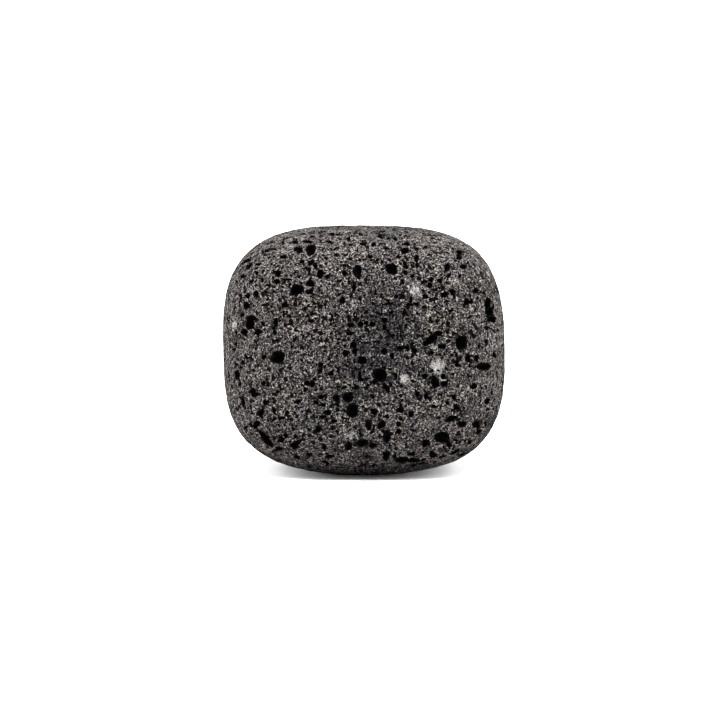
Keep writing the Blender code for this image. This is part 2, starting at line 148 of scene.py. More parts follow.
# Smaller front pores, only on the dressed surface, in the same five columns.
FRONT_PORES = (
    (-19.6, 27.8, 0.5, 0.7, 0), (13.0, 5.8, 0.7, 0.5, 0), (-13.6, 42.1, 1.8, 0.7, 12),
    (-17.3, 39.7, 1.1, 0.5, 0), (-16.3, 40.1, 1.4, 0.5, 0), (-18.2, 39.7, 0.5, 0.5, 0),
    (-20.6, 37.0, 1.2, 0.7, 45), (-20.6, 38.1, 0.8, 0.7, 0), (-14.5, 38.7, 1.1, 0.7, 0),
    (-14.5, 41.2, 0.5, 0.9, 0), (-18.9, 37.4, 1.1, 0.5, 0), (-19.2, 35.8, 0.7, 0.7, 0),
    (-16.6, 37.3, 0.7, 0.5, 0), (-16.0, 37.1, 0.5, 0.5, 0), (-12.3, 35.9, 0.9, 0.5, 30),
    (-11.1, 37.8, 0.9, 0.7, 0), (-13.8, 34.6, 1.4, 0.4, 0), (-13.3, 33.7, 0.5, 0.7, 0),
    (-20.2, 34.2, 1.2, 0.4, 25), (-18.2, 34.6, 0.5, 1.1, 0), (-17.7, 32.3, 0.5, 0.7, 0),
    (-16.1, 32.4, 0.7, 0.4, 0), (-22.8, 34.2, 0.4, 0.7, 0), (-12.5, 30.1, 0.5, 0.9, 0),
    (-17.9, 30.0, 0.9, 0.5, 0), (-8.7, 36.9, 0.9, 0.9, 0), (-9.5, 37.5, 0.9, 0.9, 0),
    (-9.8, 35.8, 0.5, 1.1, 0), (-6.6, 35.0, 0.7, 0.9, 0), (-5.7, 35.3, 0.6, 0.5, 0),
    (-6.8, 38.4, 0.7, 0.6, 0), (-5.0, 39.0, 0.8, 0.7, 0), (-3.4, 39.0, 0.7, 0.5, 0),
    (-2.5, 40.9, 0.8, 0.6, 0), (-2.8, 41.9, 0.7, 0.7, 0), (-0.2, 41.0, 1.2, 0.7, 0),
    (1.6, 40.9, 0.9, 0.7, 25), (-6.4, 41.4, 0.9, 0.5, 0), (7.5, 41.0, 1.2, 0.7, 0),
    (6.0, 38.7, 0.9, 0.8, 0), (1.0, 38.7, 1.0, 0.7, 0), (-0.8, 38.1, 0.6, 0.5, 0), (2.3, 38.1, 0.6, 0.7, 0),
    (3.2, 37.7, 0.7, 0.7, 0), (7.3, 36.9, 1.0, 0.6, 0), (7.3, 35.9, 0.7, 0.9, 0), (-3.5, 35.7, 0.7, 0.9, 0),
    (-2.8, 34.7, 0.5, 0.5, 0), (-3.4, 37.1, 0.7, 0.5, 0), (8.5, 35.2, 0.8, 0.6, 0),
    (-1.9, 33.2, 0.7, 1.2, 0), (-2.0, 32.6, 0.5, 0.4, 0), (2.0, 32.4, 0.4, 0.7, 0),
    (5.7, 31.6, 0.7, 0.7, 0), (6.9, 31.6, 0.5, 0.9, 0), (1.6, 30.2, 0.7, 0.5, 0), (7.2, 28.6, 0.9, 0.8, 0),
    (9.3, 38.3, 0.8, 1.2, 0), (12.9, 39.3, 0.4, 0.5, 0), (14.6, 39.5, 0.5, 0.4, 0),
    (18.5, 37.6, 0.5, 0.7, 0), (15.1, 35.3, 0.7, 0.9, 0), (17.0, 35.1, 0.6, 0.6, 0),
    (13.3, 33.1, 0.5, 0.5, 0), (16.1, 31.5, 0.7, 0.4, 0), (10.4, 34.1, 0.7, 0.7, 0),
    (19.1, 30.7, 0.8, 0.9, 0), (20.2, 31.3, 0.5, 0.7, 0), (18.5, 33.3, 0.5, 0.5, 0),
    (10.8, 29.7, 0.7, 0.5, 0), (15.3, 29.0, 0.7, 0.5, 0), (-24.4, 27.5, 0.4, 1.4, 0),
    (-21.8, 28.2, 0.7, 0.7, 0), (-14.4, 28.4, 0.4, 1.2, 0), (-13.4, 28.1, 0.6, 1.2, 60),
    (-16.0, 25.1, 0.8, 0.9, 0), (-9.5, 27.2, 1.1, 0.7, 0), (-7.4, 27.0, 0.4, 0.7, 0),
    (-9.8, 28.9, 0.5, 0.4, 0), (-10.9, 24.5, 0.5, 0.6, 45), (-15.5, 23.7, 0.9, 0.4, 0),
    (-19.3, 23.3, 0.4, 0.7, 0), (-22.9, 23.0, 0.5, 0.9, 0), (-23.2, 22.1, 0.5, 0.7, 0),
    (-10.7, 21.2, 0.6, 0.6, 0), (-17.9, 20.8, 0.9, 0.7, 0), (-21.2, 21.1, 0.5, 0.7, 0),
    (-21.6, 19.8, 0.7, 0.9, 0), (-19.0, 19.3, 0.4, 0.7, 0), (-22.2, 15.9, 0.5, 1.0, 0),
    (-18.0, 16.0, 0.7, 0.9, 0), (-17.2, 16.0, 0.7, 0.8, 0), (-10.6, 14.9, 0.6, 0.9, 0),
    (-15.5, 14.6, 0.7, 0.7, 0), (-12.7, 15.0, 0.5, 0.4, 0), (-2.8, 27.9, 0.5, 0.8, 0),
    (3.0, 28.4, 0.7, 0.5, 40), (-4.7, 23.9, 0.7, 0.5, 0), (-3.5, 22.7, 0.5, 0.7, 0),
    (2.9, 24.2, 0.4, 0.5, 0), (6.5, 24.4, 0.4, 0.7, 0), (4.9, 20.9, 0.7, 1.1, 0), (1.5, 19.6, 0.4, 0.5, 0),
    (-7.0, 19.1, 0.4, 0.6, 0), (-5.1, 19.0, 0.5, 0.5, 0), (-0.9, 17.5, 0.5, 1.4, 0),
    (-0.6, 16.7, 1.1, 0.7, 0), (-1.8, 17.3, 0.4, 0.5, 0), (5.6, 17.5, 0.5, 1.1, 0),
    (-3.4, 15.4, 0.7, 0.5, 0), (-4.7, 15.4, 0.9, 0.4, 0), (11.8, 27.8, 0.5, 0.5, 0),
    (12.9, 27.1, 0.5, 0.6, 0), (14.0, 26.7, 0.5, 0.4, 0), (19.3, 26.8, 0.5, 0.6, 0),
    (21.8, 26.0, 0.5, 0.7, 0), (15.6, 21.1, 0.7, 0.6, 0), (16.4, 21.1, 0.5, 0.9, 0),
    (19.4, 24.4, 0.4, 0.7, 0), (21.7, 23.5, 0.5, 0.7, 0), (20.5, 22.7, 0.5, 0.9, 0),
    (23.1, 21.2, 0.6, 1.2, 0), (18.8, 19.2, 0.7, 0.7, 0), (12.3, 17.2, 0.7, 0.7, 0),
    (14.1, 17.4, 1.0, 1.0, 0), (14.2, 16.0, 1.0, 1.2, 0), (14.5, 18.8, 0.5, 0.7, 0),
    (8.5, 19.7, 0.5, 0.9, 0), (19.7, 14.6, 0.4, 0.5, 0), (21.7, 15.4, 0.4, 0.9, 0),
    (22.7, 14.5, 0.4, 0.9, 0), (-17.7, 12.6, 0.7, 0.9, 0), (-8.6, 12.7, 0.9, 0.7, 0),
    (-7.4, 12.2, 0.8, 0.7, 0), (-7.7, 13.6, 0.9, 0.8, 0), (-18.4, 11.1, 0.9, 0.8, 0),
    (-16.1, 11.1, 0.7, 1.1, 0), (-13.8, 10.8, 0.7, 0.9, 0), (-14.6, 9.9, 1.1, 0.5, 0),
    (-17.2, 9.4, 0.5, 0.6, 0), (-21.2, 8.2, 0.5, 0.8, -60), (-14.8, 6.0, 1.1, 1.1, 0),
    (-14.0, 6.7, 0.9, 0.8, 0), (-16.3, 4.0, 0.4, 0.4, 0), (-9.8, 3.3, 1.1, 0.7, 0),
    (-6.6, 10.9, 1.2, 0.9, 0), (-7.3, 10.1, 1.1, 0.8, 0), (1.5, 13.7, 0.6, 0.9, 0),
    (4.0, 10.2, 0.5, 0.7, 0), (1.7, 8.2, 0.4, 1.1, 0), (-0.8, 7.2, 0.4, 1.4, 0), (-6.3, 3.1, 1.4, 0.7, 0),
    (5.4, 3.0, 0.7, 0.7, 0), (12.4, 11.9, 1.1, 0.6, 0), (14.8, 12.6, 0.7, 0.6, 0),
    (16.3, 11.8, 0.8, 1.0, 0), (20.7, 13.0, 0.4, 0.7, 0), (21.9, 13.0, 0.9, 1.1, 0),
    (22.1, 11.5, 0.5, 0.5, 0), (21.6, 8.8, 0.5, 0.9, 0), (20.5, 7.5, 1.1, 0.7, 50),
    (16.6, 6.9, 0.7, 0.4, -30), (16.3, 5.9, 0.9, 0.5, -35), (18.8, 5.7, 0.9, 0.6, 40),
    (14.2, 4.7, 0.5, 0.6, 0), (14.0, 3.0, 1.2, 0.6, 20), (10.1, 1.7, 0.7, 0.5, 0),
    (-18.6, 10.8, 1.0, 1.3, 0), (-19.5, 8.4, 0.9, 1.1, 0), (3.6, 27.3, 1.1, 1.0, 0),
    (3.6, 26.1, 0.9, 1.2, 0), (-2.8, 4.5, 1.2, 0.9, 0), (-1.9, 22.9, 1.0, 1.1, 0),
    (-1.8, 21.8, 0.9, 1.0, 0), (6.4, 22.3, 1.2, 1.0, 0), (7.5, 22.4, 1.0, 0.7, 0),
    (-19.9, 14.7, 1.0, 0.9, 0), (-12.4, 5.0, 1.1, 1.2, 0), (9.4, 37.1, 0.8, 1.0, 0),
    (-7.8, 19.4, 0.9, 1.0, 0), (-7.9, 18.2, 0.8, 1.0, 0), (6.1, 8.7, 0.8, 1.0, 0),
    (-0.7, 26.6, 0.9, 0.9, 0), (0.3, 26.8, 0.8, 0.8, 0), (8.1, 30.1, 1.1, 0.6, 0), (9.3, 30.2, 0.9, 0.6, 0),
    (-3.4, 21.4, 0.9, 1.2, 0), (-16.8, 41.2, 1.4, 0.7, 20), (8.3, 3.5, 1.4, 0.8, 0),
    (1.5, 26.5, 1.0, 0.8, 0), (-2.7, 24.9, 1.2, 0.7, 0), (9.0, 21.9, 0.9, 1.1, 0),
    (11.9, 34.6, 0.9, 0.9, 0), (-10.9, 42.8, 0.9, 0.7, 0), (-9.2, 42.3, 1.1, 0.6, 0),
    (-10.0, 41.4, 1.6, 0.6, 0), (-12.3, 41.4, 0.9, 0.6, 0), (-5.7, 42.7, 0.8, 0.7, 10),
    (2.8, 42.3, 0.8, 0.6, 0), (2.9, 41.0, 0.8, 0.6, 0), (3.9, 40.2, 0.9, 0.6, 0), (12.0, 42.0, 0.8, 0.6, 0),
    (9.3, 40.2, 0.8, 0.6, 0), (10.9, 40.4, 0.7, 0.6, 0), (16.9, 39.6, 1.0, 0.7, -20),
    (-0.6, 42.6, 0.8, 0.6, 0), (5.4, 41.9, 0.7, 0.5, 0), (-21.3, 38.9, 0.9, 0.6, 45),
    (-8.0, 43.0, 0.8, 0.5, 0),
)

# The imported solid's own vesicles away from the front, in millimetres: count, least and greatest mean
# radius. Each is narrowed by a random share one way, and widened as much the other way.
SCATTERED_LARGE = (30, 0.80, 1.20)
SCATTERED_SMALL = (84, 0.50, 0.80)
SCATTER_SEED = 12
FRONT_EDGE = 0.25
CANDIDATES = 4
CLEAR_FOOT_RADIUS = 0.0062
SPACING = 1.12
SQUASHES = (0.65, 1.0)

# What the dressed surface adds: least and greatest mean radius in millimetres, and pores per square
# centimetre. Inside the placed edge, nearly every pore is one of the lists'.
PLACED_EDGE = 0.6
PORE_GROUPS = ((0.45, 0.65, 3.5), (0.26, 0.45, 12.0))
FRONT_PORE_GROUPS = ((0.30, 0.42, 1.5), (0.22, 0.30, 10.0))
PORE_SEED = 5
SQUARE_CENTIMETRES = 1e4
ROUNDED_SHARE = 0.8

# A bubble's wall: the balls that it starts from, coarse to fine, and the waves that make it uneven.
BALL_LEVELS = (2, 3, 4)
WALL_WAVES = (1.5, 2.5, 4.0)
WAVES_EACH = 3

# How near two points merge when the surface is mended, in metres, and the rounds of mending.
MEND_REACH = 0.000002
MEND_ROUNDS = 4

# Pale crystal clusters on the front: across, up, width, height in millimetres, and strength.
FRONT_CRYSTALS = (
    (13.1, 19.1, 2.5, 2.3, 1.3),
    (7.1, 16.8, 2.2, 1.9, 0.9),
    (9.2, 32.4, 2.3, 3.4, 0.8),
    (-23.2, 26.4, 1.4, 2.5, 0.9),
    (-2.5, 6.8, 2.4, 1.9, 0.7),
    (-1.6, 6.5, 0.7, 0.7, 0.9),
    (-19.3, 12.9, 1.6, 1.4, 0.5),
    (-14.1, 14.1, 1.8, 1.6, 0.45),
    (-19.0, 38.6, 0.7, 0.45, 1.0),
    (-0.1, 36.9, 0.5, 0.7, 0.9),
    (18.5, 32.8, 0.5, 0.4, 0.9),
    (16.7, 39.0, 0.5, 0.4, 0.9),
    (-12.5, 34.2, 0.5, 0.4, 0.8),
    (7.8, 5.0, 0.7, 0.5, 0.8),
    (24.5, 24.8, 0.5, 0.9, 0.8),
)

# Dense, dark blue-grey patches on the front, the broad ones also painted shade over the front's middle:
# across, up, width, height in millimetres, and strength.
FRONT_DENSE_AND_SHADE_PATCHES = (
    (3.7, 25.7, 16.0, 12.0, 0.8),
    (5.0, 30.2, 5.0, 2.4, 0.7),
    (9.0, 30.0, 4.5, 2.0, 0.7),
    (2.5, 26.5, 8.0, 2.6, 0.8),
    (0.5, 22.0, 10.0, 4.5, 0.9),
    (9.5, 22.7, 5.0, 2.2, 0.8),
    (-6.0, 19.4, 4.0, 3.0, 0.5),
    (0.0, 19.3, 21.0, 8.0, 0.75),
    (-2.0, 14.0, 14.0, 7.0, 0.6),
    (13.5, 24.0, 9.0, 5.0, 0.5),
    (-11.0, 36.5, 6.0, 4.0, 0.45),
    (0.7, 5.2, 4.0, 2.6, 0.6),
    (-15.5, 8.5, 4.0, 4.0, 0.4),
)

# Crystals and dense patches away from the front: count, least and greatest mean radius in millimetres.
SIDE_CRYSTALS = (26, 0.3, 1.1)
SIDE_PATCHES = (16, 2.0, 6.0)
SIDE_STRENGTHS = (0.5, 1.0)

# Noises of the rock's finish: size in metres, detail and roughness.
SWIRL_NOISE = (0.0008, 3.0, 0.6)
GRAIN_NOISE = (0.00023, 2.0, 0.6)
BLOTCH_NOISE = (0.0034, 4.0, 0.6)
GLINT_NOISE = (0.00045, 1.0, 0.5)
DRIFT_NOISE = (0.0012, 5.0, 0.7)
RAGGED_NOISE = (0.0016, 3.0, 0.7)
BROKEN_NOISE = (0.0006, 3.0, 0.7)
WALL_DETAIL = 1.0

# Tiny pores of the finish: cell size in metres, then least and greatest radius as shares of the cell.
COARSE_PORES = (0.0010, 0.0, 0.52)
FINE_PORES = (0.00045, 0.05, 0.52)
SWIRL_REACH = 0.0010

# Thin walls between them: size in metres, and thickness as a level of the noise.
BROAD_WALLS = (0.0007, 0.04)
NARROW_WALLS = (0.00048, 0.04)

# Ramps of the finish: from least, from greatest, and to least, to greatest where they aren't 0 and 1.
COARSE_EDGE = (-0.14, 0.08)
FINE_EDGE = (-0.08, 0.13)
RIM_FADE = (0.06, 0.20, 1.0, 0.0)
GRAIN_RAMP = (0.43, 0.59)
BLOTCH_RAMP = (0.36, 0.62, 0.64, 1.07)
GLINT_RAMP = (0.66, 0.73)
COARSE_BOWL = (-0.35, 0.08)
FINE_BOWL = (-0.35, 0.12)
DRIFT_RAMP = (0.38, 0.62)
DENSE_AND_SHADE_RAMP = (0.12, 0.90, 0.0, 0.78)
FLECK_RAMP = (0.30, 0.75, 0.0, 0.9)
FLECK_EDGE = (0.05, 0.3)
FLECK_GRAIN = (0.0, 1.0, 0.35, 1.0)

# Painted shade towards the foot and painted light towards the top, by height above the floor in metres; and
# darkness by depth in a vesicle in millimetres, partly the glassy inside and partly painted shade.
PAINTED_FOOT_SHADE = (0.0, 0.014, 0.70, 1.0)
PAINTED_TOP_LIGHT = (0.034, 0.0435, 0.92, 1.30)
# Vesicles darken with depth: partly their dark glassy inside, partly painted shade.
HOLLOW_SHADE_RAMP = (0.03, 0.30, 0.0, 1.0)

# How much each part of the finish counts.
GRAIN_SHARE = 0.55
WALL_SHARE = 0.53
CRUST_POWER = 2.4
GLINT_SHARE = 1.25
FINE_BOWL_SHARE = 0.5
WALL_HEIGHT = 0.15
GRAIN_HEIGHT = 0.2
RAGGED_SHARE = 3.0
BROKEN_SHARE = 1.8
RELIEF = 0.00035

# Sockets of a Mix node that mixes colours.
MIX_FACTOR, MIX_FIRST, MIX_SECOND, MIXED = 0, 6, 7, 2

# The studio in metres: the right softbox's place, a softbox's side, the camera's clip distances.
SOFTBOX_PLACE = (0.45, 0.12, 0.18)
SOFTBOX_SIDE = 0.5
CLIP_START = 0.01
CLIP_END = 20.0
WHITE = (1.0, 1.0, 1.0, 1.0)


def smooth_step(low, high, value):
    share = min(max((value - low) / (high - low), 0.0), 1.0)
    return share * share * (3.0 - 2.0 * share)


def worn_radius(direction):
    """Distance from the stone's middle to its worn surface along a unit direction."""
    blend = smooth_step(-BLEND_HALF_HEIGHT, BLEND_HALF_HEIGHT, direction.z)
    power = BOTTOM_POWER + (TOP_POWER - BOTTOM_POWER) * blend
    rise = TOP_RISE if direction.z > 0.0 else BOTTOM_DROP
    total = abs(direction.x / (WIDTH / 2)) ** power
    total += abs(direction.y / (DEPTH / 2)) ** power
    total += abs(direction.z / rise) ** power
    radius = total ** (-1.0 / power)
    for x, y, z, spread, height in SWELLINGS:
        away = (direction - Vector((x, y, z)).normalized()).length
        radius += height * MILLIMETRE * math.exp(-((away / spread) ** 2))
    return radius


def worn_point(direction):
    return direction * worn_radius(direction)


def worn_normal(direction):
    """Outward normal of the worn surface, from two short steps along it."""
    side = direction.orthogonal().normalized() * NORMAL_STEP
    other = direction.cross(side)
    across = worn_point((direction + side).normalized()) - worn_point((direction - side).normalized())
    along = worn_point((direction + other).normalized()) - worn_point((direction - other).normalized())
    normal = across.cross(along).normalized()
    return normal if normal.dot(direction) > 0.0 else -normal


def middle_height():
    """The middle's height above the foot, which is worn flat a little above the form's lowest point."""
    return -worn_point(Vector((0.0, 0.0, -1.0))).z - FOOT_CUT


MIDDLE = Vector((0.0, 0.0, middle_height()))


def surface_normal(spot):
    """Outward normal at a spot: straight down on the foot, else that of the worn form."""
    if spot.z < FLAT_WITHIN:
        return Vector((0.0, 0.0, -1.0))
    return worn_normal((spot - MIDDLE).normalized())


def view_axes():
    tilt = math.radians(VIEW_TILT)
    toward = Vector((0.0, -math.cos(tilt), math.sin(tilt)))
    up = Vector((0.0, math.sin(tilt), math.cos(tilt)))
    return toward, up


def lowest_row(up):
    """The lowest visible row of the front view, measured from the stone's middle."""
    rows = []
    for step in range(ROW_STEPS + 1):
        turn = math.pi / 2 * step / ROW_STEPS
        spot = worn_point(Vector((0.0, -math.cos(turn), -math.sin(turn))))
        spot.z = max(spot.z, -MIDDLE.z)
        rows.append(spot.dot(up))
    return min(rows)


def is_inside(offset):
    return offset.length < worn_radius(offset.normalized())


def worn_spot_on_ray(eye, ray):
    """Where a ray from outside first meets the worn form, found by stepping and then halving, or None."""
    outside = (MIDDLE - eye).length - WIDTH
    step = 2 * WIDTH / RAY_STEPS
    for _ in range(RAY_STEPS):
        inside = outside + step
        if is_inside(eye + ray * inside - MIDDLE):
            break
        outside = inside
    else:
        return None
    for _ in range(HALVINGS):
        halfway = (outside + inside) / 2
        if is_inside(eye + ray * halfway - MIDDLE):
            inside = halfway
        else:
            outside = halfway
    return eye + ray * inside


def on_surface(axis, ray, normal, facing):
    """The step along the surface that is seen as the given step across the view."""
    return axis + ray * (axis.dot(normal) / facing)


def seen_ellipse(x, height, wide, tall, lean, lowest):
    """The ellipse on the worn surface that is seen from the front at the given place and size, or None."""
    toward, up = view_axes()
    across = Vector((1.0, 0.0, 0.0))
    eye = MIDDLE + toward * VIEW_DISTANCE
    target = MIDDLE + across * (x * MILLIMETRE) + up * (lowest + height * MILLIMETRE)
    ray = (target - eye).normalized()
    spot = worn_spot_on_ray(eye, ray)
    if spot is None:
        return None
    normal = surface_normal(spot)
    turn = math.radians(lean)
    wide_axis = across * math.cos(turn) + up * math.sin(turn)
    tall_axis = up * math.cos(turn) - across * math.sin(turn)
    facing = max(-normal.dot(ray), 1.0 / WIDEST_STRETCH)
    wide_side = on_surface(wide_axis, ray, normal, facing) * (wide * MILLIMETRE / 2)
    tall_side = on_surface(tall_axis, ray, normal, facing) * (tall * MILLIMETRE / 2)
    return spot, normal, wide_side, tall_side


def seen_ellipses(rows):
    lowest = lowest_row(view_axes()[1])
    found = [seen_ellipse(*row, lowest) for row in rows]
    return [ellipse for ellipse in found if ellipse is not None]


def mean_radius(bubble):
    return math.sqrt(bubble[2].cross(bubble[3]).length)


def reach(bubble):
    return max(bubble[2].length, bubble[3].length)


def far_enough(bubble, others):
    return all((bubble[0] - other[0]).length > SPACING * (reach(bubble) + reach(other)) for other in others)


def loneliness(bubble, others):
    return min((bubble[0] - other[0]).length for other in others)


def random_direction(chance):
    z = chance.uniform(-1.0, 1.0)
    turn = chance.uniform(0.0, 2 * math.pi)
    flat = math.sqrt(1.0 - z * z)
    return Vector((flat * math.cos(turn), flat * math.sin(turn), z))


def random_bubble(least, greatest, chance):
    """A bubble of random size, squash and turn under a random spot of the surface."""
    spot = MIDDLE + worn_point(random_direction(chance))
    spot.z = max(spot.z, 0.0)
    normal = surface_normal(spot)
    radius = chance.uniform(least, greatest) * MILLIMETRE
    turn = chance.uniform(0.0, math.pi)
    squash = chance.uniform(*SQUASHES)
    side = normal.orthogonal().normalized()
    other = normal.cross(side)
    wide_axis = side * math.cos(turn) + other * math.sin(turn)
    tall_axis = other * math.cos(turn) - side * math.sin(turn)
    return spot, normal, wide_axis * (radius / squash), tall_axis * (radius * squash)


def is_on_front(bubble, edge=FRONT_EDGE):
    return bubble[1].dot(view_axes()[0]) > edge


def is_under_foot(bubble):
    spot = bubble[0]
    return spot.z < MIDDLE.z and math.hypot(spot.x, spot.y) < CLEAR_FOOT_RADIUS + reach(bubble)


def scattered_bubbles(placed):
    """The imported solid's vesicles away from the front: each is the loneliest of a few random ones."""
    chance = random.Random(SCATTER_SEED)
    everything = list(placed)
    for count, least, greatest in (SCATTERED_LARGE, SCATTERED_SMALL):
        for _ in range(count):
            choices = []
            while len(choices) < CANDIDATES:
                bubble = random_bubble(least, greatest, chance)
                allowed = not is_on_front(bubble) and not is_under_foot(bubble)
                if allowed and far_enough(bubble, everything):
                    choices.append(bubble)
            everything.append(max(choices, key=lambda choice: loneliness(choice, everything)))
    return everything[len(placed):]


def surface_area():
    box_area = 2 * (WIDTH * DEPTH + WIDTH * STONE_HEIGHT + DEPTH * STONE_HEIGHT)
    return box_area * ROUNDED_SHARE


def extra_pores():
    """Small pores over the whole stone, thinner on the front, where most are listed one by one."""
    chance = random.Random(PORE_SEED)
    square_centimetres = surface_area() * SQUARE_CENTIMETRES
    pores = []
    for groups, front in ((PORE_GROUPS, False), (FRONT_PORE_GROUPS, True)):
        for least, greatest, density in groups:
            for _ in range(round(square_centimetres * density)):
                pore = random_bubble(least, greatest, chance)
                if is_on_front(pore, PLACED_EDGE) == front and not is_under_foot(pore):
                    pores.append(pore)
    return pores


def deselect_all():
    bpy.ops.object.select_all(action="DESELECT")


def make_active(thing):
    deselect_all()
    thing.select_set(True)
    bpy.context.view_layer.objects.active = thing


def apply_modifier(thing, kind, **values):
    """Adds a modifier with the given values and applies it."""
    make_active(thing)
    bpy.ops.object.modifier_add(type=kind)
    modifier = thing.modifiers[-1]
    for name, value in values.items():
        setattr(modifier, name, value)
    bpy.ops.object.modifier_apply(modifier=modifier.name)


def triangle_count(thing):
    return sum(len(face.vertices) - 2 for face in thing.data.polygons)


def add_worn_block(cuts):
    """A cube cut into a fine grid and worn to the stone's rounded form, with a flat foot."""
    deselect_all()
    bpy.ops.mesh.primitive_cube_add(size=2.0)
    block = bpy.context.object
    block.name = "worn_basalt"
    bpy.ops.object.mode_set(mode="EDIT")
    bpy.ops.mesh.select_all(action="SELECT")
    bpy.ops.mesh.subdivide(number_cuts=cuts)
    bpy.ops.object.mode_set(mode="OBJECT")
    for vertex in block.data.vertices:
        bent = Vector([math.tan(part * math.pi / 4) for part in vertex.co])
        spot = MIDDLE + worn_point(bent.normalized())
        spot.z = max(spot.z, 0.0)
        vertex.co = spot
    block.data.update()
    return block


def unit_ball(subdivisions):
    """A unit ball's points and triangles."""
    deselect_all()
    bpy.ops.mesh.primitive_ico_sphere_add(subdivisions=subdivisions, radius=1.0)
    ball = bpy.context.object
    points = np.array([vertex.co for vertex in ball.data.vertices])
    faces = np.array([face.vertices for face in ball.data.polygons])
    bpy.data.objects.remove(ball, do_unlink=True)
    return points, faces


def uneven_ball(points, chance, amount):
    """A unit ball's points moved in and out by a few random waves, broad ones higher than narrow ones."""
    swell = np.ones(len(points))
    for narrowness in WALL_WAVES:
        for _ in range(WAVES_EACH):
            wave = chance.normal(size=3) * narrowness
            swell += amount / narrowness * np.cos(points @ wave + chance.uniform(0, 2 * math.pi))
    return points * swell[:, None]


def bubble_points(bubble, points, form):
    spot, normal, wide_side, tall_side = bubble
    if wide_side.cross(tall_side).dot(normal) < 0.0:
        tall_side = -tall_side
    depth = mean_radius(bubble) * form.bubble_depth
    columns = np.array([wide_side * form.bubble_spread, tall_side * form.bubble_spread, normal * depth])
    return points @ columns + np.array(spot + normal * (depth * form.bubble_lift))


def add_bubbles(name, bubbles, balls, chance, form):
    """One cutter that holds many uneven bubbles, none of which overlap."""
    points = []
    faces = []
    start = 0
    for bubble in bubbles:
        level = round(math.log2(mean_radius(bubble) / form.bubble_mesh))
        ball_points, ball_faces = balls[min(max(level, 0), len(balls) - 1)]
        shaped = uneven_ball(ball_points, chance, form.bubble_unevenness)
        points.append(bubble_points(bubble, shaped, form))
        faces.append(ball_faces + start)
        start += len(ball_points)
    data = bpy.data.meshes.new(name)
    data.from_pydata(np.concatenate(points).tolist(), [], np.concatenate(faces).tolist())
    data.update()
    cutter = bpy.data.objects.new(name, data)
    bpy.context.scene.collection.objects.link(cutter)
    return cutter


def separate_groups(bubbles):
    """Groups of bubbles with no two of a group overlapping, the largest bubbles first."""
    ordered = sorted(bubbles, key=reach, reverse=True)
    places = np.array([bubble[0] for bubble in ordered])
    reaches = np.array([reach(bubble) for bubble in ordered])
    groups = []
    for index in range(len(ordered)):
        for group in groups:
            gaps = np.linalg.norm(places[group] - places[index], axis=1)
            if (gaps > SPACING * (reaches[group] + reaches[index])).all():
                group.append(index)
                break
        else:
            groups.append([index])
    return [[ordered[index] for index in group] for group in groups]


def cut_bubbles(block, bubbles, form):
    chance = np.random.default_rng(PORE_SEED)
    balls = [unit_ball(level) for level in BALL_LEVELS]
    for number, group in enumerate(separate_groups(bubbles), start=1):
        cutter = add_bubbles(f"bubbles_{number}", group, balls, chance, form)
        apply_modifier(block, "BOOLEAN", object=cutter, operation="DIFFERENCE", solver="MANIFOLD")
        bpy.data.objects.remove(cutter, do_unlink=True)


def roughen(block, name, kind, size, height):
    """Moves the surface in and out by a solid texture of the given grain size."""
    texture = bpy.data.textures.new(name, kind)
    texture.noise_scale = size
    apply_modifier(block, "DISPLACE", texture=texture, texture_coords="LOCAL", strength=height, mid_level=0.5)
    bpy.data.textures.remove(texture)


def level_foot(block):
    for vertex in block.data.vertices:
        vertex.co.z = max(vertex.co.z, 0.0)
    block.data.update()


def soft_patch(spots, patches):
    """For each spot, the strongest of several soft ellipsoidal patches."""
    strength = np.zeros(len(spots))
    for centre, radius, amount in patches:
        away = np.linalg.norm((spots - centre) / radius, axis=1)
        strength = np.maximum(strength, amount * np.exp(-(away**2)))
    return strength


def front_patches(rows):
    lowest = lowest_row(view_axes()[1])
    patches = []
    for x, height, wide, tall, amount in rows:
        spot = seen_ellipse(x, height, wide, tall, 0, lowest)[0]
        half = np.array([wide / 2, max(wide, tall) / 2, tall / 2]) * MILLIMETRE
        patches.append((np.array(spot), half, amount))
    return patches


def side_patches(count, least, greatest, chance):
    patches = []
    while len(patches) < count:
        bubble = random_bubble(least, greatest, chance)
        if not is_on_front(bubble):
            amount = chance.uniform(*SIDE_STRENGTHS)
            patches.append((np.array(bubble[0]), np.full(3, mean_radius(bubble)), amount))
    return patches


def store(block, name, values):
    attribute = block.data.attributes.new(name, "FLOAT", "POINT")
    attribute.data.foreach_set("value", np.asarray(values, np.float32))


def mark_surface(block):
    """Stores how deep each point lies in a vesicle, and where crystals and dense patches are, the front's
    broad patches also painted shade.
    """
    spots = np.array([vertex.co for vertex in block.data.vertices])
    depths = []
    for vertex in block.data.vertices:
        offset = vertex.co - MIDDLE
        below = worn_radius(offset.normalized()) - offset.length
        depths.append(max(0.0, min(below, vertex.co.z)) / MILLIMETRE)
    store(block, "hollow_depth", depths)
    chance = random.Random(PORE_SEED)
    crystals = front_patches(FRONT_CRYSTALS) + side_patches(*SIDE_CRYSTALS, chance)
    store(block, "crystal", soft_patch(spots, crystals))
    dense_and_shade = front_patches(FRONT_DENSE_AND_SHADE_PATCHES) + side_patches(*SIDE_PATCHES, chance)
    store(block, "dense_and_shade", soft_patch(spots, dense_and_shade))


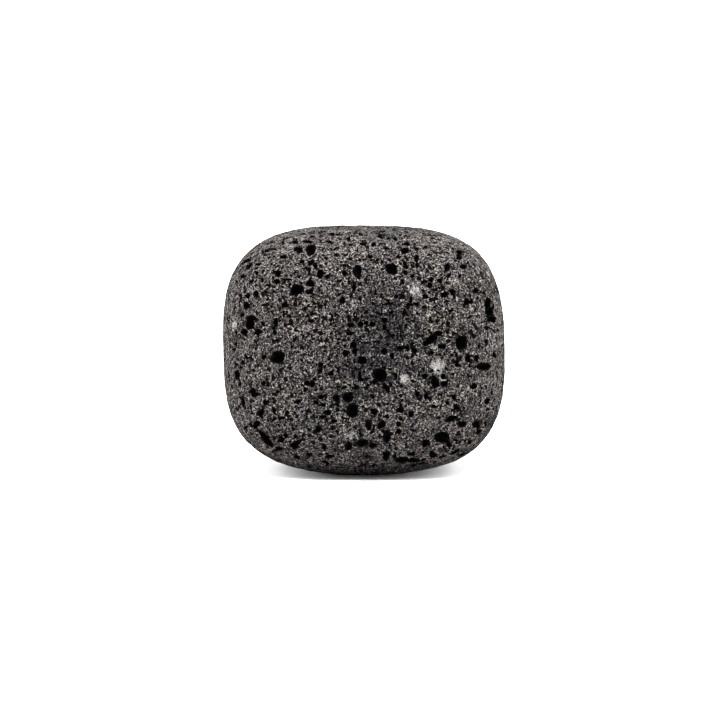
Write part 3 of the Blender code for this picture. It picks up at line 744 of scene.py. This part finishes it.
def mend_surface(block):
    """Closes the surface again where cutting and thinning left loose, doubled or shrunken faces."""
    make_active(block)
    bpy.ops.object.mode_set(mode="EDIT")
    bpy.ops.mesh.select_mode(type="VERT")
    bpy.ops.mesh.select_all(action="SELECT")
    bpy.ops.mesh.remove_doubles(threshold=MEND_REACH)
    bpy.ops.mesh.dissolve_degenerate(threshold=MEND_REACH)
    for _ in range(MEND_ROUNDS):
        bpy.ops.mesh.select_all(action="DESELECT")
        bpy.ops.mesh.select_non_manifold(extend=False)
        bpy.ops.mesh.delete(type="VERT")
        bpy.ops.mesh.select_all(action="SELECT")
        bpy.ops.mesh.delete_loose(use_verts=True, use_edges=True, use_faces=False)
        bpy.ops.mesh.select_all(action="SELECT")
        bpy.ops.mesh.fill_holes(sides=0)
    drop_crumbs(block)
    bpy.ops.mesh.select_all(action="SELECT")
    bpy.ops.mesh.normals_make_consistent(inside=False)
    bpy.ops.object.mode_set(mode="OBJECT")


def drop_crumbs(block):
    """Deletes whatever isn't joined to the stone's outermost point on the right."""
    bpy.ops.mesh.select_all(action="DESELECT")
    shell = bmesh.from_edit_mesh(block.data)
    outermost = max(shell.verts, key=lambda vertex: vertex.co.x)
    outermost.select_set(True)
    bmesh.update_edit_mesh(block.data)
    bpy.ops.mesh.select_linked()
    bpy.ops.mesh.select_all(action="INVERT")
    bpy.ops.mesh.delete(type="VERT")


def add_rock(form):
    """The dressed stone: a worn block with a low grain, cut by bubbles and thinned where it is even."""
    block = add_worn_block(form.grid_cuts)
    roughen(block, "coarse_grain", "CLOUDS", form.coarse_grain, form.coarse_height)
    level_foot(block)
    front = seen_ellipses(FRONT_VESICLES)
    bubbles = front + scattered_bubbles(front) + seen_ellipses(FRONT_PORES) + extra_pores()
    cut_bubbles(block, bubbles, form)
    made = triangle_count(block)
    apply_modifier(block, "DECIMATE", ratio=min(1.0, form.triangles / made))
    mend_surface(block)
    bpy.ops.object.shade_smooth_by_angle(angle=form.rim_angle)
    mark_surface(block)
    return block


class Nodes:
    """Adds and joins the nodes of one material or group."""

    def __init__(self, tree):
        self.tree = tree

    def add(self, kind, **values):
        node = self.tree.nodes.new(kind)
        for name, value in values.items():
            setattr(node, name, value)
        return node

    def feed(self, socket, value):
        if isinstance(value, bpy.types.NodeSocket):
            self.tree.links.new(value, socket)
        elif value is not None:
            socket.default_value = value

    def noise(self, place, size, detail, roughness=0.5):
        node = self.add("ShaderNodeTexNoise")
        self.feed(node.inputs["Vector"], place)
        node.inputs["Scale"].default_value = 1.0 / size
        node.inputs["Detail"].default_value = detail
        node.inputs["Roughness"].default_value = roughness
        return node.outputs

    def ramp(self, value, low, high, out_low=0.0, out_high=1.0):
        node = self.add("ShaderNodeMapRange", interpolation_type="SMOOTHSTEP")
        self.feed(node.inputs["Value"], value)
        self.feed(node.inputs["From Min"], low)
        self.feed(node.inputs["From Max"], high)
        self.feed(node.inputs["To Min"], out_low)
        self.feed(node.inputs["To Max"], out_high)
        return node.outputs["Result"]

    def maths(self, operation, first, second=None):
        node = self.add("ShaderNodeMath", operation=operation)
        self.feed(node.inputs[0], first)
        self.feed(node.inputs[1], second)
        return node.outputs["Value"]

    def weigh(self, first, share, second, other_share):
        part = self.maths("MULTIPLY", first, share)
        return self.maths("ADD", part, self.maths("MULTIPLY", second, other_share))

    def blend(self, factor, first, second):
        node = self.add("ShaderNodeMix", data_type="RGBA")
        self.feed(node.inputs[MIX_FACTOR], factor)
        self.feed(node.inputs[MIX_FIRST], first)
        self.feed(node.inputs[MIX_SECOND], second)
        return node.outputs[MIXED]

    def attribute(self, name):
        return self.add("ShaderNodeAttribute", attribute_name=name).outputs["Fac"]


def new_group(name, inputs, outputs):
    """A shader node group with named sockets, and helpers for its inside."""
    tree = bpy.data.node_groups.new(name, "ShaderNodeTree")
    for side, sockets in (("INPUT", inputs), ("OUTPUT", outputs)):
        for label, kind in sockets.items():
            tree.interface.new_socket(label, in_out=side, socket_type=f"NodeSocket{kind}")
    nodes = Nodes(tree)
    return nodes, nodes.add("NodeGroupInput").outputs, nodes.add("NodeGroupOutput").inputs


def burst_pores(nodes, place, size, least, greatest):
    """Pores of mixed size, one in each cell: how far a point lies outside the nearest one."""
    node = nodes.add("ShaderNodeTexVoronoi", feature="F1")
    nodes.feed(node.inputs["Vector"], place)
    node.inputs["Scale"].default_value = 1.0 / size
    pick = nodes.add("ShaderNodeSeparateColor")
    nodes.feed(pick.inputs["Color"], node.outputs["Color"])
    radius = nodes.ramp(pick.outputs["Red"], 0.0, 1.0, least, greatest)
    return nodes.maths("SUBTRACT", node.outputs["Distance"], radius)


def thin_walls(nodes, place, size, thickness):
    """Thin curved walls that follow the middle level of a noise."""
    level = nodes.maths("SUBTRACT", nodes.noise(place, size, WALL_DETAIL)["Fac"], 0.5)
    return nodes.ramp(nodes.maths("ABSOLUTE", level), 0.0, thickness, 1.0, 0.0)


def foam_group():
    """Tiny burst pores between thin worn walls: a tone, 0 in pores, where their dark inside and the shade in
    them are painted, and 1 on walls, a grain, a height.
    """
    nodes, given, result = new_group(
        "pore_foam", {"Place": "Vector"}, {"Tone": "Float", "Grain": "Float", "Height": "Float"}
    )
    place = given["Place"]
    swirl = nodes.add("ShaderNodeVectorMath", operation="MULTIPLY_ADD")
    nodes.feed(swirl.inputs[0], nodes.noise(place, *SWIRL_NOISE)["Color"])
    swirl.inputs[1].default_value = (SWIRL_REACH,) * 3
    nodes.feed(swirl.inputs[2], place)
    swirled = swirl.outputs["Vector"]

    coarse_gap = burst_pores(nodes, swirled, *COARSE_PORES)
    fine_gap = burst_pores(nodes, swirled, *FINE_PORES)
    coarse = nodes.ramp(coarse_gap, *COARSE_EDGE)
    fine = nodes.ramp(fine_gap, *FINE_EDGE)
    rims = nodes.maths("MULTIPLY", coarse, nodes.ramp(coarse_gap, *RIM_FADE))
    broad_walls = thin_walls(nodes, place, *BROAD_WALLS)
    walls = nodes.maths("MAXIMUM", broad_walls, thin_walls(nodes, swirled, *NARROW_WALLS))
    grain = nodes.ramp(nodes.noise(place, *GRAIN_NOISE)["Fac"], *GRAIN_RAMP)
    light = nodes.maths("MAXIMUM", walls, rims)
    crust = nodes.maths("POWER", nodes.weigh(grain, GRAIN_SHARE, light, WALL_SHARE), CRUST_POWER)
    blotch = nodes.ramp(nodes.noise(place, *BLOTCH_NOISE)["Fac"], *BLOTCH_RAMP)
    open_share = nodes.maths("MULTIPLY", coarse, fine)
    tone_and_shade = nodes.maths("MULTIPLY", open_share, nodes.maths("MULTIPLY", crust, blotch))
    glint = nodes.ramp(nodes.noise(place, *GLINT_NOISE)["Fac"], *GLINT_RAMP)
    nodes.feed(result["Tone"], nodes.weigh(tone_and_shade, 1.0, glint, GLINT_SHARE))
    nodes.feed(result["Grain"], grain)

    coarse_bowl = nodes.ramp(coarse_gap, *COARSE_BOWL)
    bowls = nodes.weigh(coarse_bowl, 1.0, nodes.ramp(fine_gap, *FINE_BOWL), FINE_BOWL_SHARE)
    relief = nodes.weigh(walls, WALL_HEIGHT, grain, GRAIN_HEIGHT)
    nodes.feed(result["Height"], nodes.maths("ADD", bowls, relief))
    return nodes.tree


def painted_light_and_shade_by_height(nodes, place):
    """Painted shade, a little darker towards the foot, and painted light, a little lighter towards the top.
    """
    height = nodes.add("ShaderNodeSeparateXYZ")
    nodes.feed(height.inputs["Vector"], place)
    lower = nodes.ramp(height.outputs["Z"], *PAINTED_FOOT_SHADE)
    return nodes.maths("MULTIPLY", lower, nodes.ramp(height.outputs["Z"], *PAINTED_TOP_LIGHT))


def crystal_flecks(nodes, place, grain):
    """Broken, speckled clusters where the crystal attribute is strong."""
    crystal = nodes.attribute("crystal")
    broken = nodes.maths("SUBTRACT", nodes.noise(place, *BROKEN_NOISE)["Fac"], 0.5)
    flecks = nodes.ramp(nodes.weigh(crystal, 1.0, broken, BROKEN_SHARE), *FLECK_RAMP)
    flecks = nodes.maths("MULTIPLY", flecks, nodes.ramp(crystal, *FLECK_EDGE))
    return nodes.maths("MULTIPLY", flecks, nodes.ramp(grain, *FLECK_GRAIN))


def basalt_material(colours):
    """Vesicular basalt: warm grey walls, pores and hollows darkened with painted shade, cool dense patches
    that also paint shade over the front's middle, pale crystals, and painted light and shade by height.
    """
    material = bpy.data.materials.new("vesicular_basalt")
    material.use_nodes = True
    nodes = Nodes(material.node_tree)
    shader = material.node_tree.nodes["Principled BSDF"]
    place = nodes.add("ShaderNodeTexCoord").outputs["Object"]
    foam = nodes.add("ShaderNodeGroup", node_tree=foam_group())
    nodes.feed(foam.inputs["Place"], place)

    drift = nodes.ramp(nodes.noise(place, *DRIFT_NOISE)["Fac"], *DRIFT_RAMP)
    rock = nodes.blend(drift, colours.wall, colours.warm_wall)
    ragged = nodes.maths("SUBTRACT", nodes.noise(place, *RAGGED_NOISE)["Fac"], 0.5)
    # Dense patches; over the front's middle they also stand for painted shade.
    dense_and_shade = nodes.ramp(nodes.weigh(nodes.attribute("dense_and_shade"), 1.0, ragged, RAGGED_SHARE), *DENSE_AND_SHADE_RAMP)
    rock = nodes.blend(dense_and_shade, rock, colours.dense_and_shade)
    # Painted light and shade by height: the foot is darkened and the top lightened.
    tone_and_shade = nodes.maths("MULTIPLY", foam.outputs["Tone"], painted_light_and_shade_by_height(nodes, place))
    # Pores take the pore colour: their dark inside and painted shade in holes too small to model.
    rock = nodes.blend(tone_and_shade, colours.pore, rock)
    rock = nodes.blend(crystal_flecks(nodes, place, foam.outputs["Grain"]), rock, colours.crystal)
    # Painted shade: the vesicles darken with depth, partly for their glassy inside and partly for the shade
    # in them.
    sunk_glass_and_shade = nodes.ramp(nodes.attribute("hollow_depth"), *HOLLOW_SHADE_RAMP)
    nodes.feed(shader.inputs["Base Color"], nodes.blend(sunk_glass_and_shade, rock, colours.hollow_glass_and_shade))
    shader.inputs["Roughness"].default_value = 0.85
    shader.inputs["Specular IOR Level"].default_value = 0.0
    shader.inputs["Sheen Weight"].default_value = 0.010
    shader.inputs["Sheen Roughness"].default_value = 0.3

    bump = nodes.add("ShaderNodeBump")
    bump.inputs["Strength"].default_value = 1.0
    bump.inputs["Distance"].default_value = RELIEF
    nodes.feed(bump.inputs["Height"], foam.outputs["Height"])
    nodes.feed(shader.inputs["Normal"], bump.outputs["Normal"])
    return material


def stage_material(name, colour):
    material = bpy.data.materials.new(name)
    material.use_nodes = True
    shader = material.node_tree.nodes["Principled BSDF"]
    shader.inputs["Base Color"].default_value = colour
    shader.inputs["Roughness"].default_value = 0.9
    return material


def add_floor(stage):
    deselect_all()
    bpy.ops.mesh.primitive_plane_add(size=stage.floor_size)
    floor = bpy.context.object
    floor.name = "studio_floor"
    floor.data.materials.append(stage_material("studio_white", stage.floor_colour))


def add_softbox(name, place, power):
    """An area light that faces the stone's middle."""
    deselect_all()
    bpy.ops.object.light_add(type="AREA", location=place)
    light = bpy.context.object
    light.name = name
    light.data.shape = "RECTANGLE"
    light.data.size = SOFTBOX_SIDE
    light.data.size_y = SOFTBOX_SIDE
    light.data.energy = power
    aim = MIDDLE - Vector(place)
    light.rotation_euler = aim.to_track_quat("-Z", "Y").to_euler()


def add_overhead(stage):
    """A broad, even light from above, a little to the front, which also keeps the whole floor white."""
    deselect_all()
    bpy.ops.object.light_add(type="SUN", location=(0.0, 0.0, 1.0), rotation=(stage.overhead_lean, 0.0, 0.0))
    light = bpy.context.object
    light.name = "overhead_light"
    light.data.energy = stage.overhead_strength
    light.data.angle = stage.overhead_spread


def add_surround(stage):
    """A white surround as the camera sees it, and a dimmer one as the stone does."""
    world = bpy.data.worlds.new("studio_surround")
    bpy.context.scene.world = world
    world.use_nodes = True
    nodes = Nodes(world.node_tree)
    lit = world.node_tree.nodes["Background"]
    lit.inputs["Color"].default_value = WHITE
    lit.inputs["Strength"].default_value = stage.surround_light
    seen = nodes.add("ShaderNodeBackground")
    seen.inputs["Color"].default_value = WHITE
    seen.inputs["Strength"].default_value = 1.0
    mix = nodes.add("ShaderNodeMixShader")
    nodes.feed(mix.inputs[0], nodes.add("ShaderNodeLightPath").outputs["Is Camera Ray"])
    nodes.feed(mix.inputs[1], lit.outputs["Background"])
    nodes.feed(mix.inputs[2], seen.outputs["Background"])
    nodes.feed(world.node_tree.nodes["World Output"].inputs["Surface"], mix.outputs["Shader"])


def add_camera(stage):
    toward, up = view_axes()
    aim = MIDDLE + Vector((stage.aim_right, 0.0, 0.0)) + up * stage.aim_up
    deselect_all()
    bpy.ops.object.camera_add(location=aim + toward * VIEW_DISTANCE)
    camera = bpy.context.object
    camera.name = "studio_camera"
    camera.rotation_euler = (-toward).to_track_quat("-Z", "Y").to_euler()
    camera.data.lens = camera.data.sensor_width * VIEW_DISTANCE / stage.frame_width
    camera.data.clip_start = CLIP_START
    camera.data.clip_end = CLIP_END
    bpy.context.scene.camera = camera


class RockForm(bpy.types.PropertyGroup):
    grid_cuts: bpy.props.IntProperty(
        name="Grid Cuts", description="Cuts along each edge of the cube before it is worn round", default=72
    )
    triangles: bpy.props.IntProperty(
        name="Triangles", description="The most triangles that the finished surface has", default=194000
    )
    bubble_spread: bpy.props.FloatProperty(
        name="Bubble Spread", description="A bubble's width as a share of its burst opening", default=1.12
    )
    bubble_depth: bpy.props.FloatProperty(
        name="Bubble Depth", description="A bubble's depth as a share of its mean radius", default=1.25
    )
    bubble_lift: bpy.props.FloatProperty(
        name="Bubble Lift", description="How far a bubble's centre lies outside the surface", default=-0.05
    )
    bubble_unevenness: bpy.props.FloatProperty(
        name="Unevenness", description="How far a bubble's wall departs from an ellipsoid", default=0.13
    )
    bubble_mesh: bpy.props.FloatProperty(
        name="Bubble Mesh", description="Mean radius of a bubble with the coarsest mesh",
        default=0.00026, unit="LENGTH", precision=5
    )
    coarse_grain: bpy.props.FloatProperty(
        name="Grain", description="Size of the low grain of the worn surface", default=0.0016,
        unit="LENGTH", precision=5
    )
    coarse_height: bpy.props.FloatProperty(
        name="Grain Height", description="Height of the low grain of the worn surface", default=0.00025,
        unit="LENGTH", precision=5
    )
    rim_angle: bpy.props.FloatProperty(
        name="Rim Angle", description="Edges that turn more than this are shaded sharp",
        default=math.radians(50), subtype="ANGLE"
    )


class RockColours(bpy.types.PropertyGroup):
    wall: bpy.props.FloatVectorProperty(
        name="Wall", description="Worn walls between the pores", subtype="COLOR", size=4,
        default=(0.186, 0.168, 0.177, 1.0)
    )
    warm_wall: bpy.props.FloatVectorProperty(
        name="Warm Wall", description="Worn walls where the rock drifts warmer", subtype="COLOR", size=4,
        default=(0.216, 0.197, 0.171, 1.0)
    )
    # Dense patches, and painted shade over the front's middle.
    dense_and_shade: bpy.props.FloatVectorProperty(
        name="Dense", description="Dense, cool, dark patches", subtype="COLOR", size=4,
        default=(0.030, 0.033, 0.036, 1.0)
    )
    # Inside the tiny pores: their dark inside and the painted shade in them.
    pore: bpy.props.FloatVectorProperty(
        name="Pore", description="Inside the tiny pores", subtype="COLOR", size=4,
        default=(0.0015, 0.0013, 0.0013, 1.0)
    )
    # Deep inside the vesicles: their dark glassy inside and painted shade.
    hollow_glass_and_shade: bpy.props.FloatVectorProperty(
        name="Hollow", description="Deep inside the vesicles", subtype="COLOR", size=4,
        default=(0.0008, 0.0007, 0.0007, 1.0)
    )
    crystal: bpy.props.FloatVectorProperty(
        name="Crystal", description="Pale crystal clusters", subtype="COLOR", size=4,
        default=(0.270, 0.261, 0.251, 1.0)
    )


class StudioStage(bpy.types.PropertyGroup):
    floor_size: bpy.props.FloatProperty(
        name="Floor Size", description="Side of the square floor", default=12.0, unit="LENGTH"
    )
    floor_colour: bpy.props.FloatVectorProperty(
        name="Floor", description="The floor's colour", subtype="COLOR", size=4,
        default=(0.88, 0.88, 0.88, 1.0)
    )
    surround_light: bpy.props.FloatProperty(
        name="Surround", description="Light from the white surround", default=0.62
    )
    overhead_strength: bpy.props.FloatProperty(
        name="Overhead", description="Strength of the broad light overhead", default=12.0
    )
    overhead_spread: bpy.props.FloatProperty(
        name="Overhead Spread", description="How broad the light overhead is",
        default=math.radians(44), subtype="ANGLE"
    )
    overhead_lean: bpy.props.FloatProperty(
        name="Overhead Lean", description="How far the light overhead comes from the front",
        default=math.radians(22), subtype="ANGLE"
    )
    side_power: bpy.props.FloatProperty(
        name="Side Softboxes", description="Power of each side softbox in watts", default=8.0
    )
    frame_width: bpy.props.FloatProperty(
        name="Frame Width", description="Width of the view at the stone's middle", default=0.1282,
        unit="LENGTH", precision=4
    )
    aim_right: bpy.props.FloatProperty(
        name="Aim Right", description="How far right of the stone's middle the camera looks",
        default=-0.00076, unit="LENGTH", precision=5
    )
    aim_up: bpy.props.FloatProperty(
        name="Aim Up", description="How far above the stone's middle the camera looks", default=-0.0019,
        unit="LENGTH", precision=5
    )


class LAVAROCK_OT_add_rock(bpy.types.Operator):
    """Add the pitted stone with its basalt finish"""

    bl_idname = "lavarock.add_rock"
    bl_label = "Add the Rock"

    def execute(self, context):
        rock = add_rock(context.scene.lava_form)
        rock.data.materials.clear()
        rock.data.materials.append(basalt_material(context.scene.lava_colours))
        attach(rock, "root")
        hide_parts(NODE)
        return {"FINISHED"}


class LAVAROCK_OT_add_stage(bpy.types.Operator):
    """Add the plain floor, the soft lights, the surround and the camera"""

    bl_idname = "lavarock.add_stage"
    bl_label = "Add the Stage"

    def execute(self, context):
        stage = context.scene.lava_stage
        add_floor(stage)
        across, behind, high = SOFTBOX_PLACE
        add_softbox("left_softbox", (-across, behind, high), stage.side_power)
        add_softbox("right_softbox", SOFTBOX_PLACE, stage.side_power)
        add_overhead(stage)
        add_surround(stage)
        add_camera(stage)
        context.scene.view_settings.view_transform = "Standard"
        return {"FINISHED"}


class LAVAROCK_PT_panel(bpy.types.Panel):
    """The lava rock's sizes, colours and steps"""

    bl_label = "Lava Rock"
    bl_idname = "LAVAROCK_PT_panel"
    bl_space_type = "VIEW_3D"
    bl_region_type = "UI"
    bl_category = "Lava Rock"

    def draw(self, context):
        for settings, operator in (
            (context.scene.lava_form, LAVAROCK_OT_add_rock.bl_idname),
            (context.scene.lava_colours, None),
            (context.scene.lava_stage, LAVAROCK_OT_add_stage.bl_idname),
        ):
            box = self.layout.box()
            for name in settings.__annotations__:
                box.prop(settings, name)
            if operator:
                box.operator(operator)


CLASSES = (
    RockForm,
    RockColours,
    StudioStage,
    LAVAROCK_OT_add_rock,
    LAVAROCK_OT_add_stage,
    LAVAROCK_PT_panel,
)


def register():
    for item in CLASSES:
        bpy.utils.register_class(item)
    bpy.types.Scene.lava_form = bpy.props.PointerProperty(type=RockForm)
    bpy.types.Scene.lava_colours = bpy.props.PointerProperty(type=RockColours)
    bpy.types.Scene.lava_stage = bpy.props.PointerProperty(type=StudioStage)


def unregister():
    del bpy.types.Scene.lava_stage
    del bpy.types.Scene.lava_colours
    del bpy.types.Scene.lava_form
    for item in reversed(CLASSES):
        bpy.utils.unregister_class(item)


def main():
    register()
    bpy.ops.lavarock.add_rock()
    bpy.ops.lavarock.add_stage()


if __name__ == "__main__":
    main()
